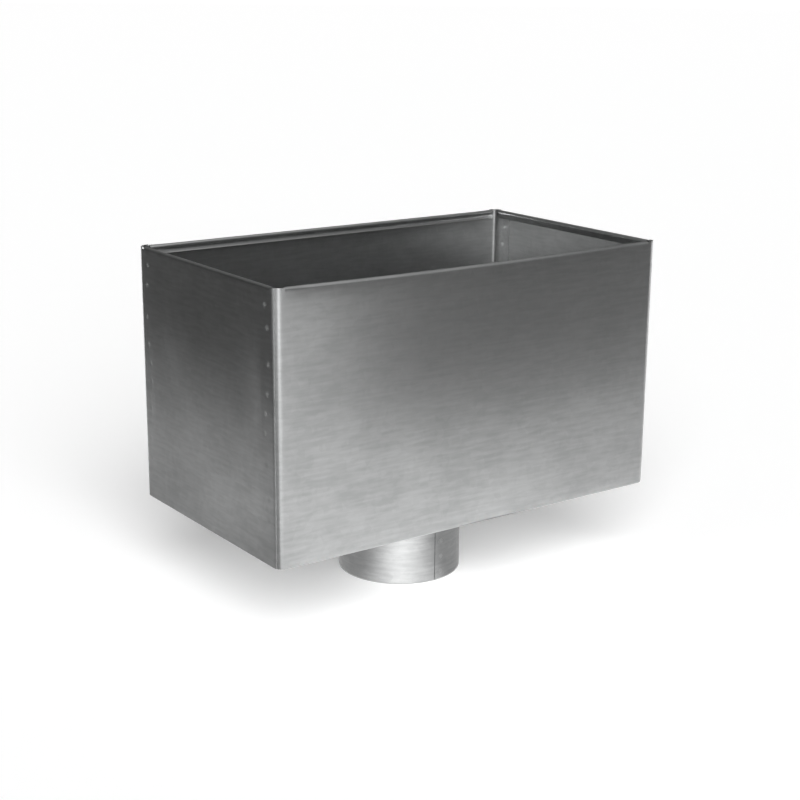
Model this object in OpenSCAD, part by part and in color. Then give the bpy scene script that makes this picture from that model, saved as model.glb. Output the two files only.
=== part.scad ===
// Downpipe hopper head: an open box of folded galvanised sheet with a round spigot under its bottom.
// Origin on the spigot's axis at its lower end, +Z up, front of the box towards -Y. Millimetres.

/* [Box] */
// Width over the two end panels
box_w = 350; // [250:5:500]
// Depth from front to back
box_d = 200; // [180:5:300]
// Height from bottom to rim
box_h = 200; // [120:5:300]

/* [Sheet] */
// Thickness of the galvanised sheet
sheet_t = 0.8; // [0.5:0.1:1.2]
// Outside radius of the upright folds at the corners
fold_r = 5.5; // [4:0.5:8]
// Outside radius of the folds along the bottom
low_fold_r = 2; // [1.5:0.5:3]

/* [Rim] */
// Height of the hem that is folded inwards along the rim
hem_h = 7; // [6:1:20]
// Room in the hem beside the flange that slips into it
hem_play = 2; // [0.1:0.1:3]
// Distance from a corner fold to the end of a hem
hem_relief = 2; // [1:0.5:6]

/* [Flanges and end panels] */
// Width of the flanges that the end panels are welded to
flange_w = 20; // [16:1:30]
// Slot between one flange and the next
flange_gap = 1; // [0.5:0.5:3]
// Distance of an end panel's upright cut edges from the front and the back
end_setback = 3.5; // [0.5:0.5:8]
// Distance of its lower cut edge from the bottom
end_clear = 1; // [0.5:0.5:3]

/* [Spot welds] */
// Spacing aimed at along the upright flanges
weld_pitch = 18; // [15:1:40]
// How far a weld set by eye strays from its place in the row
weld_stray = 5; // [0:0.5:6]
// Diameter of the shallow dish an electrode leaves
weld_d = 6; // [4:0.5:8]
// Diameter of the flat in the dish
weld_flat_d = 3.5; // [2:0.5:4]
// Depth of the dish
weld_depth = 0.3; // [0.1:0.05:0.4]

/* [Outlet spigot] */
// Outside diameter, to slip into a round downpipe
spigot_d = 98; // [70:1:120]
// Length below the box
spigot_l = 63; // [40:1:100]
// Width of the collar that is turned out on the bottom of the box
collar_w = 8; // [5:1:15]
// Radius under the collar, which the outlet hole is cut wide enough to clear
flare_r = 1.2; // [0.4:0.1:2]
// Overlap of the lap seam
lap_w = 11; // [8:0.5:20]
// Open joint in front of the edge that is let in flush
lap_gap = 0.3; // [0.2:0.1:1]
// Length of the step by which the inner layer is let in
lap_step = 2; // [1:0.5:4]
// Number of spot welds along the lap seam
lap_welds = 5; // [2:1:6]

/* [Hidden] */
$fn = 96;

galvanised = "#b9bcbe";
half_w = box_w / 2;
half_d = box_d / 2;
bottom_z = spigot_l;
rim_z = bottom_z + box_h;

// A hem is two layers with room between them for one more.
hem_gap = sheet_t + hem_play;
hem_t = 2 * sheet_t + hem_gap;
hem_r = hem_t / 2;

// The flanges lie against the inner faces of the end panels.
flange_x = half_w - sheet_t;
fold_x = flange_x - fold_r;
fold_y = half_d - fold_r;
low_x = flange_x - low_fold_r;
low_y = half_d - low_fold_r;
low_z = bottom_z + low_fold_r;
flange_low_z = bottom_z + flange_w + flange_gap;
flange_top_z = rim_z - hem_t;

// A row runs down the middle of a flange, from under the hem to near the flange's lower end.
weld_in = (fold_r + flange_w) / 2;
weld_top_z = rim_z - hem_h - weld_d;
weld_low_z = flange_low_z + weld_in;
weld_steps = max(1, floor((weld_top_z - weld_low_z) / weld_pitch));
weld_step = (weld_top_z - weld_low_z) / weld_steps;

spigot_r = spigot_d / 2;
seat_z = bottom_z + sheet_t;
lap_angle = lap_w / spigot_r * 180 / PI;
lap_gap_angle = lap_gap / spigot_r * 180 / PI;
lap_step_angle = lap_step / spigot_r * 180 / PI;
// The layers of the lap are welded, so the inner one is modelled into the wall by this depth.
lap_bond = sheet_t / 2;
front_angle = -90;
// The seam ends below the flare, in the straight wall.
lap_top_z = bottom_z - flare_r;

// Height of a weld, counted from the top of its row, and its distance from the middle of the box.
// The angles only spread the strays unevenly; the first and last weld keep their height.
function weld_z(k) = weld_top_z - weld_step * k
    + (k > 0 && k < weld_steps ? weld_stray * sin(75 * k + 60) : 0);
function weld_y(k) = half_d - weld_in + weld_stray / 2 * sin(65 * k - 32);

// Section of a sheet folded by a right angle, in the first quadrant
module fold_section(r) {
    intersection() {
        difference() {
            circle(r);
            circle(r - sheet_t);
        }
        square(2 * r);
    }
}

// Section of a hem: the outer face at x = 0, the sheet's inner side towards +x, the rim at y = 0
module hem_section() {
    translate([hem_r, -hem_r])
        intersection() {
            difference() {
                circle(hem_r);
                circle(hem_r - sheet_t);
            }
            translate([-2 * hem_r, 0]) square([4 * hem_r, 2 * hem_r]);
        }
    translate([hem_t - sheet_t, -hem_h]) square([sheet_t, hem_h - hem_r]);
}

// Section of an upright sheet from a height up to the rim, with or without its hem
module wall_section(from_z, hemmed) {
    top_z = hemmed ? rim_z - hem_r : rim_z;
    translate([0, from_z]) square([sheet_t, top_z - from_z]);
    if (hemmed) translate([0, rim_z]) hem_section();
}

// Section of the wrap across the box: y runs along the section's x, z along its y
module wrap_section(hemmed) {
    for (side = [0, 1])
        mirror([side, 0]) {
            translate([-half_d, 0]) wall_section(low_z, hemmed);
            corner_section();
        }
    translate([-low_y, bottom_z]) square([2 * low_y, sheet_t]);
}

// The fold between the front and the bottom
module corner_section() {
    translate([-low_y, low_z]) rotate(180) fold_section(low_fold_r);
}

module along_x(x_from, x_to) {
    translate([x_from, 0, 0]) rotate([90, 0, 90]) linear_extrude(x_to - x_from) children();
}

module along_y(y_from, y_to) {
    translate([0, y_to, 0]) rotate([90, 0, 0]) linear_extrude(y_to - y_from) children();
}

module along_z(z_from, z_to) {
    translate([0, 0, z_from]) linear_extrude(z_to - z_from) children();
}

// Both signs of x and of y of what is drawn at the front left corner
module both_ends() {
    children();
    mirror([1, 0, 0]) children();
}

module front_and_back() {
    children();
    mirror([0, 1, 0]) children();
}

// Upright fold and flange at the front left corner; the fold runs up to the rim, the flange into the hem
module upright_flange() {
    along_z(low_z, rim_z)
        translate([-fold_x, -fold_y]) rotate(180) fold_section(fold_r);
    along_z(flange_low_z, flange_top_z)
        translate([-flange_x, -fold_y]) square([sheet_t, flange_w - fold_r]);
}

// Lower corner at the front left, dressed round where the upright fold meets the ones along the bottom
module round_corner() {
    reach = fold_r - low_fold_r;
    translate([-fold_x, -fold_y, low_z])
        mirror([1, 0, 0]) rotate([180, 0, 0])
            rotate_extrude(angle = 90) {
                translate([reach, 0]) fold_section(low_fold_r);
                translate([0, low_fold_r - sheet_t]) square([reach, sheet_t]);
            }
}

// Fold and flange along the left edge of the bottom
module bottom_flange() {
    reach = fold_y - flange_gap;
    along_y(-reach, reach) {
        translate([-low_x, bottom_z]) square([low_x - fold_x, sheet_t]);
        translate([-low_x, low_z]) rotate(180) fold_section(low_fold_r);
        translate([-flange_x, low_z]) square([sheet_t, flange_w - low_fold_r]);
    }
}

// One dish in a face at z = 0, pressed from above; the cone runs on out of the face
module weld_mark() {
    translate([0, 0, -weld_depth])
        cylinder(d1 = weld_flat_d, d2 = 2 * weld_d - weld_flat_d, h = 2 * weld_depth);
}

// The row of welds at the front left corner, in a face at x that looks to the side +x or -x
module weld_row(face_x, side) {
    for (k = [0 : weld_steps])
        translate([face_x, -weld_y(k), weld_z(k)]) rotate([0, side * 90, 0]) weld_mark();
}

// Front, bottom and back from one sheet, with the flanges for the ends
module body_wrap() {
    hem_end = fold_x - hem_relief;
    color(galvanised)
        difference() {
            union() {
                along_x(-hem_end, hem_end) wrap_section(true);
                both_ends() {
                    along_x(-fold_x, -hem_end) wrap_section(false);
                    bottom_flange();
                    front_and_back() {
                        round_corner();
                        upright_flange();
                    }
                }
            }
            translate([0, 0, bottom_z - sheet_t]) cylinder(r = spigot_r + flare_r, h = 3 * sheet_t);
            both_ends() front_and_back() weld_row(sheet_t - flange_x, 1);
        }
}

// Left end panel: plain cut edges at the front, back and bottom, a hem along the top between the corners
module end_panel() {
    hem_reach = fold_y - hem_relief;
    edge = half_d - end_setback;
    color(galvanised)
        difference() {
            translate([-half_w, 0, 0]) {
                along_y(-hem_reach, hem_reach) wall_section(bottom_z + end_clear, true);
                front_and_back() along_y(-edge, -hem_reach) wall_section(bottom_z + end_clear, false);
            }
            front_and_back() weld_row(-half_w, -1);
        }
}

module left_end() {
    end_panel();
}

module right_end() {
    mirror([1, 0, 0]) end_panel();
}

// Section of the tube wall and of the collar turned out of its upper edge
module spigot_section() {
    translate([spigot_r - sheet_t, 0]) square([sheet_t, seat_z - flare_r]);
    translate([spigot_r + flare_r, seat_z - flare_r]) rotate(90) fold_section(flare_r + sheet_t);
    translate([spigot_r + flare_r, seat_z]) square([collar_w - flare_r, sheet_t]);
}

// Rolled tube: at the front the inner layer steps in, passes under the seam and ends behind the outer layer
module outlet_spigot() {
    color(galvanised)
        difference() {
            union() {
                rotate_extrude() spigot_section();
                rotate([0, 0, front_angle - lap_step_angle])
                    rotate_extrude(angle = lap_step_angle + lap_angle)
                        translate([spigot_r - 2 * sheet_t, 0]) square([sheet_t + lap_bond, lap_top_z]);
            }
            rotate([0, 0, front_angle - lap_gap_angle])
                rotate_extrude(angle = lap_gap_angle)
                    translate([spigot_r - sheet_t, -sheet_t]) square([2 * sheet_t, lap_top_z + sheet_t]);
            for (k = [0 : lap_welds - 1])
                rotate([0, 0, front_angle + lap_angle / 2])
                    translate([spigot_r, 0, bottom_z * (k + 0.5) / lap_welds])
                        rotate([0, 90, 0]) weld_mark();
        }
}

body_wrap();
left_end();
right_end();
outlet_spigot();
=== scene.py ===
"""Looks of a downpipe hopper head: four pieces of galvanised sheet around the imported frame."""
import math

import bmesh
import bpy
from mathutils import Matrix, Vector, noise


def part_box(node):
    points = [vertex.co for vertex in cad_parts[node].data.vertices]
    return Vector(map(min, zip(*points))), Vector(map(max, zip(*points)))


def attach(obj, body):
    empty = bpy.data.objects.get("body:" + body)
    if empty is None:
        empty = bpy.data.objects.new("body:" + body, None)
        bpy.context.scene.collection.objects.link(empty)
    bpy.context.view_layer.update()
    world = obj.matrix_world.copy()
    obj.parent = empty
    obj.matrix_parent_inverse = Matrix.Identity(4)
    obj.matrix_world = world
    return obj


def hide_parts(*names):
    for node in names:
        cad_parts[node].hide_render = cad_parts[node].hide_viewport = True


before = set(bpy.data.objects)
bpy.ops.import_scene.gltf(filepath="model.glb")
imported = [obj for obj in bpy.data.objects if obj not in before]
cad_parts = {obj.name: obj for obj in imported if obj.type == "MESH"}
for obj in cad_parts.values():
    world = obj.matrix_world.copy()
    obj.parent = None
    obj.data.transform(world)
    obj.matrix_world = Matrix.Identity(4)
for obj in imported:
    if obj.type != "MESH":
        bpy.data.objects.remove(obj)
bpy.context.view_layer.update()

# Pieces are drawn in millimetres and brought to metres when they are finished.
MM = 0.001
AXES = {"x": Vector((1, 0, 0)), "y": Vector((0, 1, 0)), "z": Vector((0, 0, 1))}

# Distances at which places count as the same, sheet is picked by its place, and cuts and points merge
NEAR = 0.01
SLACK = 0.1
MERGE = 0.001

# Sizes of the solids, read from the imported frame
WRAP_LOW, WRAP_HIGH = (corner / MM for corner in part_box("body_wrap"))
END_LOW, END_HIGH = (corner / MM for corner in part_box("right_end"))
HALF_W = END_HIGH.x
HALF_D = WRAP_HIGH.y
FLANGE_X = WRAP_HIGH.x
BOTTOM_Z = WRAP_LOW.z
RIM_Z = WRAP_HIGH.z
END_EDGE_Y = END_HIGH.y
END_EDGE_Z = END_LOW.z
COLLAR_R = (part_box("outlet_spigot")[1] / MM).x

# Sheet, folds and flanges; a flange's slot starts a little beside the fold
SHEET_T = 0.8
FOLD_R = 5.5
LOW_FOLD_R = 2.0
FOLD_X = FLANGE_X - FOLD_R
FOLD_Y = HALF_D - FOLD_R
FOLD_EASE = 0.6
FLANGE_W = 20.0
FLANGE_GAP = 1.0
FLANGE_LOW_Z = BOTTOM_Z + FLANGE_W + FLANGE_GAP
HOLE_FIELD = COLLAR_R + 2

# Hems: the two bends of a roll stop a hair short of each other
HEM_H = 7.0
HEM_T = 4.4
HEM_R = HEM_T / 2 - 0.01
HEM_RELIEF = 2.0
HEM_SLIT = 0.2
HEM_FADE = 14.0
LIP_Z = RIM_Z - HEM_H
SLIT_Z = RIM_Z - HEM_T / 2 - HEM_SLIT

# Fineness of the meshes: steps in the flats and under the rim, and facets of the bends
FLAT_STEP = 8.0
HEM_STEP = 1.5
TUBE_STEP = 3.0
ROLL_STEP_DEG = 1.2
FOLD_FACETS = 10
LOW_FACETS = 5
HEM_FACETS = 8
FLARE_FACETS = 4
LAP_FACETS = 4
HOLE_FACETS = 128
SHARP_ANGLE = math.radians(40)

# Spot welds, at the places they have in the solids
WELD_D = 6.0
WELD_DEPTH = 0.24
WELD_STRAY = 5.0
WELD_PITCH = 18.0
WELD_IN = (FOLD_R + FLANGE_W) / 2
WELD_TOP_Z = RIM_Z - HEM_H - WELD_D
WELD_LOW_Z = FLANGE_LOW_Z + WELD_IN
WELD_STEPS = math.floor((WELD_TOP_Z - WELD_LOW_Z) / WELD_PITCH)
WELD_CUT = 0.8
WELD_CUTS = 5
WELD_MARK = "weld_mark"

# Waves in the flats, and the oil can in an end: a bulge towards the back and a hollow beside the front
# flange, each with its middle and its reach along y and z
WAVE = 0.25
WAVE_LEAST = 0.05
WAVE_LENGTH = 90.0
OIL_CAN = 0.8
BULGE = (44, 205, 40, 32)
HOLLOW = (-70, 190, 30, 35)
HOLLOW_SHARE = 0.8

# How far the front and back lean in under their hems and in the rolls, how far the hems' free edges
# are pressed towards the walls, and how far the front rim sags
WALL_LEAN = 0.7
LEAN_FROM_Z = RIM_Z - 20
ROLL_LEAN = 0.8
ROLL_FROM_Z = RIM_Z - 10
HEM_PRESS = 1.5
RIM_SAG = 1.6
SAG_FROM_Z = RIM_Z - 60

# Outlet spigot
SPIGOT_R = 49.0
FLARE_R = 1.2
SEAT_Z = BOTTOM_Z + SHEET_T
LAP_W = 11.0
LAP_GAP = 0.05
LAP_STEP = 0.6
LAP_WELDS = 5
SEAM_ANGLE = math.radians(-90)

# Pattern of the zinc in millimetres: handling marks, crystals, and the orange peel of the dip with its
# depth. Rolling streaks are finer than a millimetre on the real sheet and are drawn coarser, so that
# they show.
CLOUD_MM = 45.0
CRYSTAL_MM = 5.0
PEEL_MM = 6.0
PEEL_DEPTH_MM = 0.02
STREAK_LONG_MM = 20.0
STREAK_FINE_MM = 2.6
ZINC_DULL = "#adaeae"
ZINC_BRIGHT = "#bfc0c0"

# Roughness of the flat sheet and of the rolled tube, how much smoother the bright spots are, and how much
# rougher the middle of a weld is
SHEET_ROUGHNESS = 0.31
TUBE_ROUGHNESS = 0.24
GLOSS_SPREAD = 0.03
WELD_MATT = 0.28


def near(value, place):
    """True where a value is at a place."""
    return abs(value - place) < NEAR


def both(*places):
    """Places on both sides of the middle."""
    return [side * place for side in (-1, 1) for place in places]


def spread(low, high, step):
    """Places between two ends, about one step apart, without the ends."""
    count = max(1, round((high - low) / step))
    return [low + (high - low) * k / count for k in range(1, count)]


def ease(share):
    """Rises smoothly from 0 to 1."""
    share = min(1.0, max(0.0, share))
    return share * share * (3 - 2 * share)


def calm(value, reach):
    """Falls from 1 in the middle of a flat to 0 where a fold or an edge holds it."""
    share = min(1.0, abs(value) / reach)
    return 1 - share ** 4


def on_bottom(place):
    """True in the plane of the bottom."""
    return near(place.z, BOTTOM_Z)


def on_flange(place):
    """True on the upright flanges."""
    return near(abs(place.x), FLANGE_X) and place.z > FLANGE_LOW_Z


def on_low_outline(place):
    """True on the outline of the bottom, whose corners follow the upright folds."""
    over_x = abs(place.x) - FOLD_X
    over_y = abs(place.y) - FOLD_Y
    if over_x > 0 and over_y > 0:
        on_edge = abs(math.hypot(over_x, over_y) - FOLD_R) < SLACK
    else:
        on_edge = near(over_x, FOLD_R) or near(over_y, FOLD_R)
    return on_bottom(place) and on_edge


def verts_of(geom):
    """The points among what an operator gives back."""
    return [g for g in geom if isinstance(g, bmesh.types.BMVert)]


def edges_of(geom):
    """The edges among what an operator gives back."""
    return [g for g in geom if isinstance(g, bmesh.types.BMEdge)]


def open_edges(bm, at):
    """Open edges of the sheet that lie at a place."""
    return [e for e in bm.edges if e.is_boundary and all(at(v.co) for v in e.verts)]


def draw_line(bm, places):
    """Draws a line of edges through places."""
    row = [bm.verts.new(place) for place in places]
    return [bm.edges.new(pair) for pair in zip(row, row[1:])]


def sweep(bm, section, along):
    """Draws a section and sweeps it along to a sheet."""
    swept = bmesh.ops.extrude_edge_only(bm, edges=draw_line(bm, section))["geom"]
    bmesh.ops.translate(bm, vec=along, verts=verts_of(swept))


def roll(bm, edges, angle, steps):
    """Rolls sheet out of a line of edges round the spigot's axis and gives its new edge."""
    verts = list({v for e in edges for v in e.verts})
    return bmesh.ops.spin(bm, geom=[*verts, *edges], cent=(0, 0, 0), axis=(0, 0, 1),
                          angle=angle, steps=steps)["geom_last"]


def roll_steps(angle):
    """Number of facets of sheet that is rolled by an angle."""
    return round(math.degrees(angle) / ROLL_STEP_DEG)


def cut(bm, axis, places, inside=None):
    """Cuts the sheet across one axis; with inside, only the faces whose middle lies inside."""
    normal = AXES[axis]
    for place in places:
        faces = [f for f in bm.faces if inside is None or inside(f.calc_center_median())]
        edges = {e for f in faces for e in f.edges}
        verts = {v for f in faces for v in f.verts}
        bmesh.ops.bisect_plane(bm, geom=[*verts, *edges, *faces], dist=MERGE,
                               plane_co=normal * place, plane_no=normal)


def drop(bm, inside):
    """Cuts away the faces whose middle lies inside."""
    faces = [f for f in bm.faces if inside(f.calc_center_median())]
    bmesh.ops.delete(bm, geom=faces, context="FACES")


def turn_out(bm, edges, along):
    """Turns more sheet out of open edges and gives its new outer edges."""
    verts = set(verts_of(bmesh.ops.extrude_edge_only(bm, edges=edges)["geom"]))
    bmesh.ops.translate(bm, vec=along, verts=list(verts))
    return list({e for v in verts for e in v.link_edges if all(w in verts for w in e.verts)})


def round_folds(bm, on_line, radius, facets):
    """Rounds the sharp edges that lie on a fold line."""
    folds = [e for e in bm.edges if not e.is_boundary and all(on_line(v.co) for v in e.verts)]
    bmesh.ops.bevel(bm, geom=folds, offset=radius, offset_type="OFFSET", segments=facets,
                    profile=0.5, affect="EDGES", material=-1, clamp_overlap=False)


def weld_places():
    """Height of each weld of a row and its distance from the middle of the box, both a little uneven."""
    step = (WELD_TOP_Z - WELD_LOW_Z) / WELD_STEPS
    for k in range(WELD_STEPS + 1):
        stray = WELD_STRAY * math.sin(math.radians(75 * k + 60)) if 0 < k < WELD_STEPS else 0
        z = WELD_TOP_Z - step * k + stray
        y = HALF_D - WELD_IN + WELD_STRAY / 2 * math.sin(math.radians(65 * k - 32))
        yield z, y


WELDS = list(weld_places())
WELD_FROM_Y = min(y for z, y in WELDS) - WELD_D
WELD_TO_Y = max(y for z, y in WELDS) + WELD_D


def dish(distance):
    """Share of the full depth of a weld's dish at a distance from its middle."""
    share = min(1.0, distance / (WELD_D / 2))
    return (1 + math.cos(math.pi * share)) / 2


def row_dish(place):
    """Share of the depth of the dishes in the rows at the box's corners."""
    return max(dish(math.hypot(place.z - z, abs(place.y) - y)) for z, y in WELDS)


def weld_cuts(middle):
    """Places of the cuts that make a dish round."""
    return [middle + WELD_CUT * k for k in range(-WELD_CUTS, WELD_CUTS + 1)]


def ripple(a, b, seed):
    """Gentle wave over a flat, between about -0.5 and 0.5."""
    return 0.5 * noise.noise(Vector((a / WAVE_LENGTH, b / WAVE_LENGTH, seed / 7)))


def hump(y, z, form):
    """Share of a bulge or a hollow at a place in an end."""
    middle_y, middle_z, reach_y, reach_z = form
    return math.exp(-((y - middle_y) / reach_y) ** 2 - ((z - middle_z) / reach_z) ** 2)


def lean(z):
    """How far a hemmed wall leans in at a height: a little under the hem, more in its roll."""
    wall = max(0.0, (z - LEAN_FROM_Z) / (RIM_Z - LEAN_FROM_Z))
    bend = max(0.0, (z - ROLL_FROM_Z) / (RIM_Z - ROLL_FROM_Z))
    return WALL_LEAN * wall ** 2 + ROLL_LEAN * bend ** 2


def pressed_hem(z):
    """How far a hem's inner layer is pressed towards its wall at a height, most at its free edge."""
    return HEM_PRESS * max(0.0, (RIM_Z - HEM_R - z) / (HEM_H - HEM_R))


def make_object(name, bm):
    """Makes an object of a drawn mesh and puts it into the scene."""
    mesh = bpy.data.meshes.new(name)
    bm.to_mesh(mesh)
    bm.free()
    made = bpy.data.objects.new(name, mesh)
    bpy.context.scene.collection.objects.link(made)
    return made


def finish_sheet(bm, name, node, faces_out):
    """Gives the drawn outer face its thickness and makes it a piece that stands for a node."""
    bmesh.ops.recalc_face_normals(bm, faces=bm.faces[:])
    if not faces_out(max(bm.faces, key=lambda f: f.calc_area())):
        bmesh.ops.reverse_faces(bm, faces=bm.faces[:])
    bmesh.ops.solidify(bm, geom=bm.faces[:], thickness=SHEET_T)
    bm.normal_update()
    for face in bm.faces:
        face.smooth = True
    for edge in bm.edges:
        edge.smooth = edge.calc_face_angle(math.pi) < SHARP_ANGLE
    bmesh.ops.scale(bm, vec=(MM, MM, MM), verts=bm.verts[:])
    piece = make_object(name, bm)
    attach(piece, "root")
    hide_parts(node)
    return piece


def folded_body():
    """Front, bottom and back folded from one sheet, with hems and with flanges for the ends."""
    bm = bmesh.new()
    lip_y = HALF_D - HEM_T
    hem_end = FOLD_X - HEM_RELIEF
    outline = [(-lip_y, LIP_Z), (-lip_y, RIM_Z), (-HALF_D, RIM_Z), (-HALF_D, BOTTOM_Z),
               (HALF_D, BOTTOM_Z), (HALF_D, RIM_Z), (lip_y, RIM_Z), (lip_y, LIP_Z)]
    sweep(bm, [(-FLANGE_X, y, z) for y, z in outline], (2 * FLANGE_X, 0, 0))

    # The hems stop short of the corners, beside a slit.
    cut(bm, "x", both(hem_end, hem_end + HEM_SLIT, FOLD_X - FOLD_EASE))
    cut(bm, "z", [SLIT_Z, FLANGE_LOW_Z])
    drop(bm, lambda c: abs(c.x) > hem_end and abs(c.y) < HALF_D - SLACK and c.z > LIP_Z)
    drop(bm, lambda c: hem_end < abs(c.x) < hem_end + HEM_SLIT and c.z > SLIT_Z)

    # Flanges along the end edges, with a slot between one and the next
    slot_y = FOLD_Y - FOLD_EASE / 2
    cut(bm, "y", both(slot_y, slot_y - FLANGE_GAP), inside=on_bottom)
    drop(bm, lambda c: abs(c.x) > FOLD_X - FOLD_EASE and on_bottom(c)
         and slot_y - FLANGE_GAP < abs(c.y) < slot_y)
    for side in (-1, 1):
        for way in (-1, 1):
            upright = open_edges(bm, lambda p: near(p.x, side * FLANGE_X) and near(p.y, way * HALF_D))
            folded = turn_out(bm, upright, (0, -way * (HALF_D - slot_y), 0))
            flange = [e for e in folded if all(
                FLANGE_LOW_Z - SLACK < v.co.z < SLIT_Z + SLACK for v in e.verts)]
            turn_out(bm, flange, (0, way * (HALF_D - slot_y - FLANGE_W), 0))
        level = open_edges(bm, lambda p: near(p.x, side * FLANGE_X) and on_bottom(p)
                           and abs(p.y) < slot_y - FLANGE_GAP + SLACK)
        turn_out(bm, level, (0, 0, FLANGE_W))
    bmesh.ops.remove_doubles(bm, verts=bm.verts[:], dist=MERGE)

    # A square field in the bottom, for the outlet hole
    cut(bm, "x", [-HOLE_FIELD, HOLE_FIELD], inside=on_bottom)
    cut(bm, "y", [-HOLE_FIELD, HOLE_FIELD], inside=on_bottom)

    # The wide upright folds, the tight ones along the bottom, which run round the corners, and the
    # rolls of the hems
    round_folds(bm, lambda p: near(abs(p.x), FLANGE_X) and near(abs(p.y), HALF_D), FOLD_R, FOLD_FACETS)
    round_folds(bm, on_low_outline, LOW_FOLD_R, LOW_FACETS)
    round_folds(bm, lambda p: near(abs(p.y), HALF_D) and near(p.z, RIM_Z) and abs(p.x) < hem_end + SLACK,
                HEM_R, HEM_FACETS)
    round_folds(bm, lambda p: near(abs(p.y), lip_y) and near(p.z, RIM_Z), HEM_R, HEM_FACETS)

    # A grid in the flats, fine enough for their slight waves
    cut(bm, "x", spread(-hem_end, hem_end, FLAT_STEP))
    cut(bm, "y", spread(-FOLD_Y, FOLD_Y, FLAT_STEP))
    cut(bm, "z", spread(BOTTOM_Z + LOW_FOLD_R, LEAN_FROM_Z, FLAT_STEP))
    cut(bm, "z", spread(LEAN_FROM_Z, RIM_Z - HEM_R, HEM_STEP))

    # Round outlet hole in its field
    drop(bm, lambda c: max(abs(c.x), abs(c.y)) < HOLE_FIELD and on_bottom(c))
    square = open_edges(bm, lambda p: on_bottom(p) and max(abs(p.x), abs(p.y)) < HOLE_FIELD + SLACK)
    ring = bmesh.ops.create_circle(bm, cap_ends=False, segments=HOLE_FACETS, radius=SPIGOT_R + FLARE_R,
                                   matrix=Matrix.Translation((0, 0, BOTTOM_Z)))["verts"]
    hole = list({e for v in ring for e in v.link_edges})
    bmesh.ops.bridge_loops(bm, edges=square + hole)

    # Weld dishes in the flanges, pressed outwards from the inside
    cut(bm, "y", both(*spread(WELD_FROM_Y, WELD_TO_Y, WELD_CUT)), inside=on_flange)
    for z, y in WELDS:
        cut(bm, "z", weld_cuts(z), inside=on_flange)
    mark = bm.verts.layers.float.new(WELD_MARK)
    for v in bm.verts:
        if on_flange(v.co):
            v[mark] = row_dish(v.co)
            v.co.x += math.copysign(WELD_DEPTH * v[mark], v.co.x)

    # Slight waves left in the flats by rolling and folding, and rims that lean and sag
    for v in bm.verts:
        x, y, z = v.co
        calm_x = calm(x, hem_end)
        calm_z = calm(z - (BOTTOM_Z + LIP_Z) / 2, (LIP_Z - BOTTOM_Z) / 2)
        if near(abs(y), HALF_D):
            v.co.y -= math.copysign(WAVE_LEAST + WAVE * (0.5 + ripple(x, z, y)), y) * calm_x * calm_z
        if near(z, BOTTOM_Z) and math.hypot(x, y) > COLLAR_R:
            v.co.z += WAVE * (0.5 + ripple(x, y, z)) * calm_x * calm(y, FOLD_Y)
        if abs(y) > lip_y - SLACK and abs(x) < hem_end + SLACK and z > BOTTOM_Z + LOW_FOLD_R:
            inwards = lean(z) * ease((hem_end - abs(x)) / HEM_FADE)
            if near(abs(y), lip_y):
                inwards -= pressed_hem(z)
            v.co.y -= math.copysign(inwards, y)
            if y < 0:
                sagging = ease((z - SAG_FROM_Z) / (LIP_Z - SAG_FROM_Z))
                v.co.z -= RIM_SAG * (1 - (x / hem_end) ** 2) * sagging
    return finish_sheet(bm, "folded_body", "body_wrap",
                        lambda f: f.normal.dot(f.calc_center_median() - Vector((0, 0, RIM_Z))) > 0)


def end_panel(name, node, side):
    """Flat end with a hem along its top, spot welded to the flanges behind it."""
    bm = bmesh.new()
    lip_x = HALF_W - HEM_T
    hem_end = FOLD_Y - HEM_RELIEF
    outline = [(HALF_W, END_EDGE_Z), (HALF_W, RIM_Z), (lip_x, RIM_Z), (lip_x, LIP_Z)]
    sweep(bm, [(side * x, -END_EDGE_Y, z) for x, z in outline], (0, 2 * END_EDGE_Y, 0))

    # The hem stops short of the corners, beside a slit.
    cut(bm, "y", both(hem_end, hem_end + HEM_SLIT))
    cut(bm, "z", [SLIT_Z])
    drop(bm, lambda c: abs(c.y) > hem_end and abs(c.x) < HALF_W - SLACK)
    drop(bm, lambda c: hem_end < abs(c.y) < hem_end + HEM_SLIT and c.z > SLIT_Z)
    round_folds(bm, lambda p: near(abs(p.x), HALF_W) and near(p.z, RIM_Z) and abs(p.y) < hem_end + SLACK,
                HEM_R, HEM_FACETS)
    round_folds(bm, lambda p: near(abs(p.x), lip_x) and near(p.z, RIM_Z), HEM_R, HEM_FACETS)

    # A grid in the flat, finer under the rim and round the welds
    cut(bm, "y", spread(-WELD_FROM_Y, WELD_FROM_Y, FLAT_STEP))
    cut(bm, "y", both(*spread(WELD_FROM_Y, WELD_TO_Y, WELD_CUT)))
    cut(bm, "z", spread(END_EDGE_Z, LEAN_FROM_Z, FLAT_STEP))
    cut(bm, "z", spread(LEAN_FROM_Z, RIM_Z - HEM_R, HEM_STEP))
    for z, y in WELDS:
        cut(bm, "z", weld_cuts(z))

    # Weld dishes, the buckled flat, upright edges dressed onto the folds, and the hem pressed to the wall
    mark = bm.verts.layers.float.new(WELD_MARK)
    for v in bm.verts:
        x, y, z = v.co
        if near(abs(x), HALF_W):
            v[mark] = row_dish(v.co)
            calm_in = calm(y, WELD_FROM_Y) * calm(z - (END_EDGE_Z + LIP_Z) / 2, (LIP_Z - END_EDGE_Z) / 2)
            buckle = hump(y, z, BULGE) - HOLLOW_SHARE * hump(y, z, HOLLOW)
            pressed = WAVE * (0.5 + ripple(y, z, x)) + OIL_CAN * (1 - buckle)
            over_fold = max(0.0, abs(y) - FOLD_Y)
            dressed = FOLD_R - math.sqrt(FOLD_R ** 2 - over_fold ** 2)
            v.co.x -= side * (WELD_DEPTH * v[mark] + pressed * calm_in + dressed)
        elif near(abs(x), lip_x):
            v.co.x += side * pressed_hem(z)
    return finish_sheet(bm, name, node, lambda f: f.normal.x * side > 0)


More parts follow.
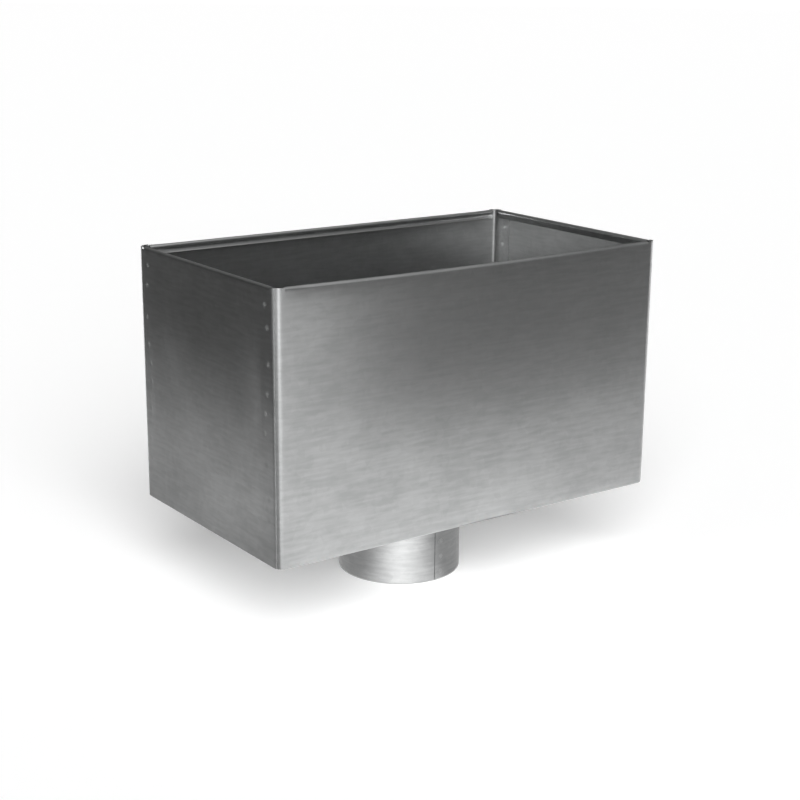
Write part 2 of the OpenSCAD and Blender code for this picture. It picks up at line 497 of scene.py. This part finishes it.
def spigot_faces_out(face):
    """True where a face of the tube looks away from its axis, or one of its collar looks down."""
    middle = face.calc_center_median()
    if middle.z < BOTTOM_Z:
        return face.normal.x * middle.x + face.normal.y * middle.y > 0
    return face.normal.z < 0


def rolled_spigot():
    """Tube rolled from one strip, its seam lapped flush at the front, with a collar turned out on top."""
    bm = bmesh.new()
    lap = LAP_W / SPIGOT_R
    step = LAP_STEP / SPIGOT_R
    gap = LAP_GAP / SPIGOT_R
    round_turn = 2 * math.pi - gap - step
    outline = [(SPIGOT_R, 0), (SPIGOT_R, SEAT_Z), (COLLAR_R, SEAT_Z)]
    strip = draw_line(bm, [(r * math.cos(SEAM_ANGLE), r * math.sin(SEAM_ANGLE), z) for r, z in outline])
    roll(bm, strip, round_turn, roll_steps(round_turn))
    bmesh.ops.remove_doubles(bm, verts=bm.verts[:], dist=MERGE)
    round_folds(bm, lambda p: near(p.z, SEAT_Z) and near(math.hypot(p.x, p.y), SPIGOT_R),
                FLARE_R, FLARE_FACETS)
    weld_heights = [BOTTOM_Z * (k + 0.5) / LAP_WELDS for k in range(LAP_WELDS)]
    cut(bm, "z", spread(0, SEAT_Z - FLARE_R, TUBE_STEP))
    for z in weld_heights:
        cut(bm, "z", weld_cuts(z))

    # The other end of the strip steps in and passes under the seam.
    end_x = SPIGOT_R * math.cos(SEAM_ANGLE + round_turn)
    end_y = SPIGOT_R * math.sin(SEAM_ANGLE + round_turn)
    last = [e for e in bm.edges if all(
        near(v.co.x, end_x) and near(v.co.y, end_y) and v.co.z < BOTTOM_Z + SLACK for v in e.verts)]
    radius = SPIGOT_R
    for k in range(LAP_FACETS):
        stepped_in = SPIGOT_R - SHEET_T * ease((k + 1) / LAP_FACETS)
        rolled = roll(bm, last, step / LAP_FACETS, 1)
        last = edges_of(rolled)
        bmesh.ops.scale(bm, vec=(stepped_in / radius, stepped_in / radius, 1), verts=verts_of(rolled))
        radius = stepped_in
    roll(bm, last, gap + lap, roll_steps(gap + lap))

    # Weld dishes down the middle of the lap
    weld_angle = SEAM_ANGLE + lap / 2
    mark = bm.verts.layers.float.new(WELD_MARK)
    for v in bm.verts:
        r = math.hypot(v.co.x, v.co.y)
        along = SPIGOT_R * (math.atan2(v.co.y, v.co.x) - weld_angle)
        v[mark] = max(dish(math.hypot(along, v.co.z - z)) for z in weld_heights)
        v.co.x *= 1 - WELD_DEPTH * v[mark] / r
        v.co.y *= 1 - WELD_DEPTH * v[mark] / r
    return finish_sheet(bm, "rolled_spigot", "outlet_spigot", spigot_faces_out)


def linear(hex_colour):
    """Linear colour of an sRGB hex value."""
    parts = [int(hex_colour[k:k + 2], 16) / 255 for k in (1, 3, 5)]
    return [p / 12.92 if p <= 0.04045 else ((p + 0.055) / 1.055) ** 2.4 for p in parts] + [1]


def empty_material(name):
    """Material without nodes, ready to be filled."""
    material = bpy.data.materials.new(name)
    material.use_nodes = True
    material.node_tree.nodes.clear()
    return material


def add(tree, kind, settings=None, sources=None, **links):
    """Adds a node with its settings, its inputs linked to other nodes' outputs by number or by name."""
    node = tree.nodes.new("ShaderNode" + kind)
    for key, value in (settings or {}).items():
        if isinstance(key, str) and hasattr(node, key):
            setattr(node, key, value)
        else:
            node.inputs[key].default_value = value
    for number, source in (sources or {}).items():
        tree.links.new(source, node.inputs[number])
    for key, source in links.items():
        tree.links.new(source, node.inputs[key.replace("_", " ")])
    return node


def galvanised_steel(name, streak_mm, roughness):
    """Hot-dip galvanised sheet: satin zinc with small flat crystals, faint streaks along the rolling
    direction and cloudy handling marks, so that its reflections are soft and slightly broken up.
    Spot welds leave small matt rounds."""
    material = empty_material(name)
    tree = material.node_tree
    place = add(tree, "TexCoord").outputs["Object"]

    # One tone from streaks, clouds and crystals, which sets the colour and the gloss
    along = add(tree, "Mapping", {"Scale": [1 / (MM * size) for size in streak_mm]}, Vector=place)
    streaks = add(tree, "TexNoise", {"Scale": 1.0, "Detail": 1.5, "Roughness": 0.5},
                  Vector=along.outputs["Vector"])
    clouds = add(tree, "TexNoise", {"Scale": 1 / (MM * CLOUD_MM), "Detail": 2.0}, Vector=place)
    crystals = add(tree, "TexVoronoi", {"Scale": 1 / (MM * CRYSTAL_MM)}, Vector=place)
    crystal = add(tree, "SeparateColor", Color=crystals.outputs["Color"])
    streak = add(tree, "MapRange", {"From Min": 0.25, "From Max": 0.75, "To Min": -0.4, "To Max": 0.4},
                 Value=streaks.outputs["Fac"])
    cloud = add(tree, "MapRange", {"From Min": 0.3, "From Max": 0.7, "To Min": 0.2, "To Max": 0.8},
                Value=clouds.outputs["Fac"])
    glint = add(tree, "MapRange", {"To Min": -0.15, "To Max": 0.15}, Value=crystal.outputs["Red"])
    rolled = add(tree, "Math", {"operation": "ADD"},
                 {0: streak.outputs["Result"], 1: cloud.outputs["Result"]})
    tone = add(tree, "Math", {"operation": "ADD", "use_clamp": True},
               {0: rolled.outputs["Value"], 1: glint.outputs["Result"]})
    colour = add(tree, "Mix", {"data_type": "RGBA", 6: linear(ZINC_DULL), 7: linear(ZINC_BRIGHT)},
                 {0: tone.outputs["Value"]})
    gloss = add(tree, "MapRange", {"To Min": roughness, "To Max": roughness - GLOSS_SPREAD},
                Value=tone.outputs["Value"])

    # Welds are matt, and the dip leaves a faint orange peel.
    welds = add(tree, "Attribute", {"attribute_name": WELD_MARK})
    matt = add(tree, "Math", {"operation": "MULTIPLY_ADD", 1: WELD_MATT},
               {0: welds.outputs["Fac"], 2: gloss.outputs["Result"]})
    peel = add(tree, "TexNoise", {"Scale": 1 / (MM * PEEL_MM), "Detail": 2.0}, Vector=place)
    relief = add(tree, "Bump", {"Strength": 1.0, "Distance": PEEL_DEPTH_MM * MM},
                 Height=peel.outputs["Fac"])
    shader = add(tree, "BsdfPrincipled", {"Metallic": 1.0}, Base_Color=colour.outputs[2],
                 Roughness=matt.outputs["Value"], Normal=relief.outputs["Normal"])
    add(tree, "OutputMaterial", Surface=shader.outputs["BSDF"])
    return material


# Set, in metres: the floor is level out to a radius and then rises by two degrees to its edge, so that a
# view at a low angle doesn't see past it. Its paper and its lift, and the grey of the surroundings
FLOOR_R = 20
FLOOR_EDGE_R = 90
FLOOR_EDGE_Z = 2.4
FLOOR_FACETS = 64
PAPER_WHITE = "#fdfdfd"
PAPER_LIFT = "#505050"
ROOM_GREY = "#6c6c6c"


def paper_floor():
    """Wide floor of white paper that keeps the hopper's shadow."""
    bm = bmesh.new()
    bmesh.ops.create_circle(bm, cap_ends=True, segments=FLOOR_FACETS, radius=FLOOR_R)
    widen = FLOOR_EDGE_R / FLOOR_R
    edge = verts_of(bmesh.ops.extrude_edge_only(bm, edges=bm.edges[:])["geom"])
    bmesh.ops.scale(bm, vec=(widen, widen, 1), verts=edge)
    bmesh.ops.translate(bm, vec=(0, 0, FLOOR_EDGE_Z), verts=edge)
    floor = make_object("floor", bm)

    # Matt paper that looks flat and even; seen or mirrored, it is lifted to the white of a lit backdrop.
    paper = empty_material("white_paper")
    tree = paper.node_tree
    rays = add(tree, "LightPath")
    direct = add(tree, "Math", {"operation": "MAXIMUM"},
                 {0: rays.outputs["Is Camera Ray"], 1: rays.outputs["Is Glossy Ray"]})
    seen = add(tree, "Math", {"operation": "MAXIMUM"},
               {0: direct.outputs["Value"], 1: rays.outputs["Is Transmission Ray"]})
    matt = add(tree, "BsdfPrincipled",
               {"Base Color": linear(PAPER_WHITE), "Roughness": 0.9, "Specular IOR Level": 0.0})
    lift = add(tree, "Emission", {"Color": linear(PAPER_LIFT)}, Strength=seen.outputs["Value"])
    lit = add(tree, "AddShader", None, {0: matt.outputs["BSDF"], 1: lift.outputs["Emission"]})
    add(tree, "OutputMaterial", Surface=lit.outputs["Shader"])
    # The lift is no lamp, so no light is looked for in it.
    paper.cycles.emission_sampling = "NONE"
    floor.data.materials.append(paper)


def key_light(name, strength, width, azimuth, elevation):
    """Distant soft lamp that shines from an azimuth and an elevation."""
    sun = bpy.data.lights.new(name, "SUN")
    sun.energy = strength
    sun.angle = math.radians(width)
    lamp = bpy.data.objects.new(name, sun)
    a, e = math.radians(azimuth), math.radians(elevation)
    towards = -Vector((math.cos(e) * math.cos(a), math.cos(e) * math.sin(a), math.sin(e)))
    lamp.rotation_euler = towards.to_track_quat("-Z", "Y").to_euler()
    bpy.context.scene.collection.objects.link(lamp)


def mirrored_card(name, bm):
    """Makes a glowing card that only bright metal mirrors, a painted reflection of shade or highlight,
    and gives the nodes of its empty material.
    """
    sheet = make_object(name, bm)
    sheet.visible_camera = False
    sheet.visible_shadow = False
    sheet.visible_diffuse = False
    # Its material only glows and is seen in nothing but reflections: painted shade or a painted highlight
    # on the metal.
    painted_reflection = empty_material(name)
    sheet.data.materials.append(painted_reflection)
    return painted_reflection.node_tree


def shine(tree, tone):
    """Lets a card shine by a tone."""
    glow = add(tree, "Emission", {"Color": linear("#ffffff")}, Strength=tone)
    add(tree, "OutputMaterial", Surface=glow.outputs["Emission"])


def card(name, corners, axis, start, end):
    """Flat card whose tone runs from a start to an end along an axis, each a place and a tone."""
    bm = bmesh.new()
    bm.faces.new([bm.verts.new(corner) for corner in corners])
    tree = mirrored_card(name, bm)
    place = add(tree, "TexCoord")
    split = add(tree, "SeparateXYZ", Vector=place.outputs["Object"])
    tone = add(tree, "MapRange",
               {"From Min": start[0], "From Max": end[0], "To Min": start[1], "To Max": end[1]},
               Value=split.outputs[axis])
    shine(tree, tone.outputs["Result"])


# Card round the spigot, in metres: it widens from a foot beside the tube to its upper edge. It glows
# dimly with one soft bright patch, set by its azimuth and its reach in degrees: painted shade and a
# painted highlight on the tube.
RING_FOOT_R = 0.0495
RING_TOP_R = 0.11
RING_H = 0.055
RING_MIDDLE_Z = 0.028
RING_FACETS = 90
RING_DIM = 0.46
RING_BRIGHT = 1.65
RING_PATCH_AT = -120
RING_PATCH_REACH = 53
RING_TONE = "tone"


def ring_tone(azimuth):
    """Tone of the ring at an azimuth."""
    off = (azimuth - RING_PATCH_AT + 180) % 360 - 180
    return RING_DIM + (RING_BRIGHT - RING_DIM) * ease(1 - abs(off) / RING_PATCH_REACH)


def spigot_ring():
    """Glowing card that opens upwards round the spigot like a funnel, so that the tube mirrors it:
    painted shade on the tube's sides and a painted highlight down its front.
    """
    bm = bmesh.new()
    bmesh.ops.create_cone(bm, cap_ends=False, segments=RING_FACETS, radius1=RING_FOOT_R,
                          radius2=RING_TOP_R, depth=RING_H,
                          matrix=Matrix.Translation((0, 0, RING_MIDDLE_Z)))
    layer = bm.verts.layers.float.new(RING_TONE)
    for v in bm.verts:
        v[layer] = ring_tone(math.degrees(math.atan2(v.co.y, v.co.x)))
    tree = mirrored_card("spigot_ring", bm)
    shine(tree, add(tree, "Attribute", {"attribute_name": RING_TONE}).outputs["Fac"])


def studio():
    """White floor, even grey surroundings, two soft lamps, and glowing cards seen only in reflections,
    which paint shade and highlights into the metal.
    """
    paper_floor()
    world = bpy.data.worlds.new("studio")
    bpy.context.scene.world = world
    world.use_nodes = True
    world.node_tree.nodes["Background"].inputs["Color"].default_value = linear(ROOM_GREY)
    world.node_tree.nodes["Background"].inputs["Strength"].default_value = 1.0
    key_light("soft_key", strength=3.8, width=50, azimuth=-118, elevation=32)
    key_light("camera_light", strength=1.8, width=10, azimuth=-121, elevation=14)

    # A dark card that paints shade on the upper front, and a dark one with a glow at its foot that paints
    # shade on the left end and a lighter lower part; both are painted reflections
    card("front_card",
         [(0.125, -0.47, 0), (0.6, -0.47, 0.015), (0.9, -0.47, 0.1), (0.9, -0.47, 0.4),
          (0.125, -0.47, 0.4)],
         "Z", (0.1, 0.125), (0.2, 0.13))
    card("end_card",
         [(-0.29, -0.02, 0), (-0.29, 0.6, 0), (-0.29, 0.6, 0.45), (-0.29, -0.02, 0.45)],
         "Z", (0.06, 0.34), (0.15, 0.06))
    card("end_glow",
         [(-0.285, 0.08, 0), (-0.285, 0.2, 0), (-0.285, 0.2, 0.1), (-0.285, 0.08, 0.1)],
         "Z", (0.02, 0.62), (0.1, 0.28))

    # Grey cards that lie to the left and in front, one far off in front, and one overhead for the rims,
    # all painted reflections: shade on the metal that mirrors them, and the rims' light
    card("left_card",
         [(-0.19, -0.12, 0.002), (-0.19, 0.35, 0.002), (-0.29, 0.35, 0.002), (-1.5, 0.6, 0.002),
          (-1.4, -0.9, 0.002)],
         "X", (-0.4, 0.37), (-0.2, 0.37))
    card("far_card",
         [(-0.4, -1.05, 0), (0.5, -1.05, 0), (0.5, -1.05, 0.35), (-0.4, -1.05, 0.35)],
         "X", (0, 0.45), (0.3, 0.4))
    card("floor_card",
         [(0.2, -0.2, 0.002), (0.2, -0.46, 0.002), (0.9, -0.46, 0.002), (0.9, -0.2, 0.002)],
         "X", (0.2, 0.9), (0.6, 0.5))
    spigot_ring()
    card("top_card",
         [(-0.4, -0.8, 0.76), (0.75, -0.8, 0.76), (0.75, 0.3, 0.76), (-0.4, 0.3, 0.76)],
         "X", (0.15, 0.6), (0.65, 0.2))


# Camera, fitted to the edges in the photo: its lens, its place in metres, and where it looks and leans
CAMERA_LENS_MM = 70.27
CAMERA_SENSOR_MM = 36
CAMERA_AT = Vector((-0.699, -0.9709, 0.4686))
CAMERA_FORWARD = Vector((0.5629, 0.7822, -0.2671))
CAMERA_RIGHT = Vector((0.8131, -0.5821, 0.0087))


def photo_camera():
    """Camera at the photograph's place and viewing angle, for a square picture."""
    camera = bpy.data.cameras.new("camera")
    camera.lens = CAMERA_LENS_MM
    camera.sensor_width = CAMERA_SENSOR_MM
    eye = bpy.data.objects.new("camera", camera)
    forward = CAMERA_FORWARD.normalized()
    up = CAMERA_RIGHT.normalized().cross(forward).normalized()
    right = forward.cross(up)
    eye.matrix_world = Matrix((
        (right.x, up.x, -forward.x, CAMERA_AT.x),
        (right.y, up.y, -forward.y, CAMERA_AT.y),
        (right.z, up.z, -forward.z, CAMERA_AT.z),
        (0, 0, 0, 1)))
    bpy.context.scene.collection.objects.link(eye)
    bpy.context.scene.camera = eye


# Streaks run along the sheet as it was rolled: along x on the wrap, along y on the ends, round the tube.
wrap_zinc = galvanised_steel("galvanised_steel_folded", (STREAK_LONG_MM, STREAK_FINE_MM, STREAK_FINE_MM),
                             SHEET_ROUGHNESS)
end_zinc = galvanised_steel("galvanised_steel_end", (STREAK_FINE_MM, STREAK_LONG_MM, STREAK_FINE_MM),
                            SHEET_ROUGHNESS)
tube_zinc = galvanised_steel("galvanised_steel_rolled", (STREAK_LONG_MM, STREAK_LONG_MM, STREAK_FINE_MM),
                             TUBE_ROUGHNESS)
folded_body().data.materials.append(wrap_zinc)
end_panel("left_end_panel", "left_end", -1).data.materials.append(end_zinc)
end_panel("right_end_panel", "right_end", 1).data.materials.append(end_zinc)
rolled_spigot().data.materials.append(tube_zinc)

studio()
photo_camera()
bpy.context.scene.view_settings.view_transform = "Standard"
